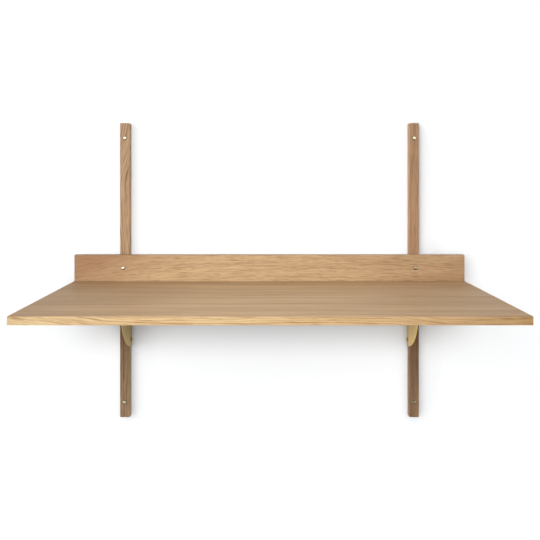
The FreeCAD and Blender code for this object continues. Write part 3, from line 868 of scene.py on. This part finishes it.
# %% [markdown]
# ## Screws
# A screw is turned on a lathe, so its section is drawn once and spun round its axis. The slot is
# sawn: two cuts and a level mark out a strip of the head, and the strip is pressed down to the
# slot's floor. The thread is a small triangle spun many times round while it moves along. One
# screw of each size is made with its head up, then set in each of its places. The rim of a head is
# marked as tarnished from the start. Some crowns are darkened as well: on the lower wall screws,
# under the top, that is painted shade, and the right backboard bolt is darker too.

# %% Screw section and slot
ROUND_STEPS = 32
CROWN_STEPS = 10
SAME_PLACE = 1e-6
ON_CUT = 1e-7
HEAD_RIM = 0.0005
SLOT_WIDTH = 0.0012
SLOT_DEPTH = 0.0015


def dome_section(bm, radius, height):
    cap = height - HEAD_RIM
    ball = (radius**2 + cap**2) / (2 * cap)
    crown = bm.verts.new((0, 0, height))
    opening = math.asin(radius / ball)
    last = spin_round(bm, [crown], (0, 0, height - ball), (0, 1, 0), opening, CROWN_STEPS)
    shoulder = only(bmesh.types.BMVert, last)[0]
    return line_to(bm, shoulder, (radius, 0, 0))


def cone_section(bm, radius, height):
    crown = bm.verts.new((0, 0, height))
    return line_to(bm, crown, (radius, 0, height))


def turned(bm, corner, stations):
    for radius, height in stations:
        corner = line_to(bm, corner, (radius, 0, height))
    bmesh.ops.spin(
        bm,
        geom=bm.verts[:] + bm.edges[:],
        cent=(0, 0, 0),
        axis=(0, 0, 1),
        dvec=(0, 0, 0),
        angle=2 * math.pi,
        steps=ROUND_STEPS,
        use_merge=True,
    )
    bmesh.ops.remove_doubles(bm, verts=bm.verts[:], dist=SAME_PLACE)
    bmesh.ops.recalc_face_normals(bm, faces=bm.faces[:])


def saw_slot(bm, top, seat, reach):
    floor_z = top - SLOT_DEPTH
    half = SLOT_WIDTH / 2
    cuts = [((side, 0, 0), (1, 0, 0)) for side in (-half, half)]
    cuts += [((0, end, 0), (0, 1, 0)) for end in (-reach, reach)]
    cuts += [((0, 0, floor_z), (0, 0, 1))]
    for place, facing in cuts:
        head = [f for f in bm.faces if f.calc_center_median().z > seat]
        ring = {part for f in head for part in (*f.edges, *f.verts)}
        bmesh.ops.bisect_plane(
            bm, geom=[*head, *ring], dist=ON_CUT, plane_co=place, plane_no=facing
        )
    slack = Vector((SAME_PLACE, SAME_PLACE, SAME_PLACE))
    low = Vector((-half, -reach, floor_z)) - slack
    high = Vector((half, reach, top)) + slack

    def inside(face):
        return all(low[i] < v.co[i] < high[i] for v in face.verts for i in range(3))

    strip = [face for face in bm.faces if inside(face)]
    pressed = bmesh.ops.extrude_face_region(bm, geom=strip)["geom"]
    bmesh.ops.delete(bm, geom=strip, context="FACES")
    for vertex in only(bmesh.types.BMVert, pressed):
        vertex.co.z = floor_z
    bmesh.ops.remove_doubles(bm, verts=bm.verts[:], dist=SAME_PLACE)
    bmesh.ops.dissolve_degenerate(bm, edges=bm.edges[:], dist=SAME_PLACE)


# %% Thread
THREAD_STEPS = 16
SUNK_ROOT = 0.94
CREST_PLACE = 0.4
FOOT_PLACE = 0.8


def cut_thread(bm, core, crest, start, length, pitch):
    root = core * SUNK_ROOT
    top = bm.verts.new((root, 0, start))
    edge = bm.verts.new((crest, 0, start - pitch * CREST_PLACE))
    foot = bm.verts.new((root, 0, start - pitch * FOOT_PLACE))
    section = bm.faces.new((top, edge, foot))
    steps = int(length / pitch * THREAD_STEPS)
    made = bmesh.ops.spin(
        bm,
        geom=[section, *section.edges, *section.verts],
        cent=(0, 0, 0),
        axis=(0, 0, 1),
        dvec=(0, 0, -pitch / THREAD_STEPS),
        angle=2 * math.pi * steps / THREAD_STEPS,
        steps=steps,
    )
    last = max(only(bmesh.types.BMVert, made["geom_last"]), key=lambda v: v.co.xy.length)
    for end in (edge, last):
        end.co.xy *= root / crest
    bmesh.ops.recalc_face_normals(bm, faces=bm.faces[:])


# %% One screw of each size
SUNK_SLOT = 0.66
BARE_POINT = 0.6
CLEAN_CROWN = 0.5
RIM_FADE = 0.4


def screw(head, head_size, shank_size, thread_size, length, point):
    bm = bmesh.new()
    head_radius, head_height = head_size
    shank_radius, shank_length = shank_size
    crest, core, pitch = thread_size
    if head == "domed":
        corner = dome_section(bm, head_radius, head_height)
        top, seat, reach = head_height, 0.0, head_radius
    else:
        corner = cone_section(bm, head_radius, 0.0)
        top, seat, reach = 0.0, -head_height, head_radius * SUNK_SLOT
    stations = [
        (shank_radius, seat),
        (shank_radius, -shank_length),
        (core, -shank_length - (shank_radius - core)),
        (core, point - length),
        (0.0, -length),
    ]
    turned(bm, corner, stations)
    tarnish_and_shade = bm.verts.layers.float.new("tarnish_and_shade")
    for vertex in bm.verts:
        if vertex.co.z >= seat:
            share = vertex.co.xy.length / head_radius
            vertex[tarnish_and_shade] = min(1.0, max(0.0, (share - CLEAN_CROWN) / RIM_FADE))
    saw_slot(bm, top, seat, reach)
    thread_length = length - shank_length - point * BARE_POINT
    cut_thread(bm, core, crest, -shank_length, thread_length, pitch)
    mesh = bpy.data.meshes.new("one_screw")
    bm.to_mesh(mesh)
    bm.free()
    return mesh


# %% Setting screws in their places
SLOT_TURN = 37.0
NEXT_TURN = 71.0
NO_CROWN_DARKENING = (0.0,)


def set_screws(mesh, seats, outward, crown_darkening=NO_CROWN_DARKENING):
    bm = bmesh.new()
    facing = Vector(outward).to_track_quat("Z", "X").to_matrix().to_4x4()
    for number, seat in enumerate(seats):
        before = len(bm.verts)
        bm.from_mesh(mesh)
        bm.verts.ensure_lookup_table()
        turn = Matrix.Rotation(math.radians(SLOT_TURN + NEXT_TURN * number), 4, "Z")
        place = Matrix.Translation(seat) @ facing @ turn
        bmesh.ops.transform(bm, matrix=place, verts=bm.verts[before:])
        tarnish_and_shade = bm.verts.layers.float["tarnish_and_shade"]
        # each place can darken the crown as well; for the lower wall screws that is painted shade
        for vertex in bm.verts[before:]:
            vertex[tarnish_and_shade] = max(vertex[tarnish_and_shade], crown_darkening[number % len(crown_darkening)])
    return bm


# %% [markdown]
# ## Where the screws go
# Four long wood screws hold the uprights to the wall, two bolts hold the backboard to the uprights,
# and each bracket has two screws into its upright and three into the top. All have domed brass
# heads. Five plain steel screws sit flush in the backboard's back and hold the top to it.

# %% Brass screws of the uprights and backboard
UPRIGHT_X = 0.427
UPRIGHT_FRONT_Y = -0.024
BACKBOARD_FRONT_Y = -0.044
WALL_SCREW_Z = 0.390
BOLT_Z = 0.009
# painted shade: the lower two wall screws, under the top, are darkened on their crowns
WALL_SCREW_PAINTED_SHADE = (0.0, 0.7, 0.1, 0.95)
# the right backboard bolt is darkened on its crown
BOLT_CROWN_DARKENING = (0.0, 0.8)

HEAD = (0.006, 0.004)
wall_screw = screw(
    "domed",
    HEAD,
    shank_size=(0.0027, 0.024),
    thread_size=(0.0023, 0.0016, 0.0022),
    length=0.070,
    point=0.006,
)
wall_seats = [
    (x, UPRIGHT_FRONT_Y, z) for x in (-UPRIGHT_X, UPRIGHT_X) for z in (WALL_SCREW_Z, -WALL_SCREW_Z)
]
made_piece(
    set_screws(wall_screw, wall_seats, (0, -1, 0), WALL_SCREW_PAINTED_SHADE),
    "brass_wall_screws",
    polished_brass,
    "screw_brass",
    "wall_screws",
)
bolt = screw(
    "domed",
    HEAD,
    shank_size=(0.003, 0.018),
    thread_size=(0.003, 0.0025, 0.001),
    length=0.034,
    point=0.001,
)
bolt_seats = [(x, BACKBOARD_FRONT_Y, BOLT_Z) for x in (-UPRIGHT_X, UPRIGHT_X)]
made_piece(
    set_screws(bolt, bolt_seats, (0, -1, 0), BOLT_CROWN_DARKENING),
    "brass_backboard_bolts",
    polished_brass,
    "screw_brass",
    "backboard_bolts",
)

# %% Brass screws of the brackets
SMALL_HEAD = (0.004, 0.0028)
SIDE_SCREW_Y = -0.012
SIDE_SCREW_DROPS = (0.024, 0.159)
TOP_SCREW_X = 0.3985
TOP_SCREW_DEPTHS = (0.062, 0.096, 0.130)

side_screw = screw(
    "domed",
    HEAD,
    shank_size=(0.00225, 0.008),
    thread_size=(0.00225, 0.0015, 0.0018),
    length=0.025,
    point=0.004,
)
top_screw = screw(
    "domed",
    SMALL_HEAD,
    shank_size=(0.002, 0.005),
    thread_size=(0.002, 0.0014, 0.0016),
    length=0.016,
    point=0.003,
)
for name, sign in (("left", -1), ("right", 1)):
    seats = [(sign * (SIDE_X - SHEET), SIDE_SCREW_Y, UNDER_Z - drop) for drop in SIDE_SCREW_DROPS]
    # the side screws wear the darker golden copy, a painted reflection of the oak and painted shade
    made_piece(
        set_screws(side_screw, seats, (-sign, 0, 0)),
        name + "_brass_side_screws",
        brass_painted_warm_reflection,
        "screw_brass",
        name + "_bracket_side_screws",
    )
    seats = [(sign * TOP_SCREW_X, -depth, UNDER_Z - SHEET) for depth in TOP_SCREW_DEPTHS]
    made_piece(
        set_screws(top_screw, seats, (0, 0, -1)),
        name + "_brass_top_screws",
        polished_brass,
        "screw_brass",
        name + "_bracket_top_screws",
    )

# %% Steel screws
JOINT_PITCH = 0.115
JOINT_PLACES = (-4, -2, 0, 2, 4)
JOINT_Z = -0.0387
BACKBOARD_BACK_Y = -0.024
SUNK_HEAD = (0.0042, 0.0024)

joint_screw = screw(
    "sunk",
    SUNK_HEAD,
    shank_size=(0.0021, 0.020),
    thread_size=(0.0021, 0.0014, 0.0018),
    length=0.050,
    point=0.004,
)
joint_seats = [(step * JOINT_PITCH, BACKBOARD_BACK_Y, JOINT_Z) for step in JOINT_PLACES]
made_piece(
    set_screws(joint_screw, joint_seats, (0, 1, 0)),
    "steel_joint_screws",
    zinc_plate,
    "joint_screw_steel",
    "joint_screws",
)
for name in ("wall_screws", "backboard_bolts", "left_bracket_side_screws", "joint_screws"):
    low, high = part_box(name)
    print(name, "solid", [round(x, 4) for x in (*low, *high)])
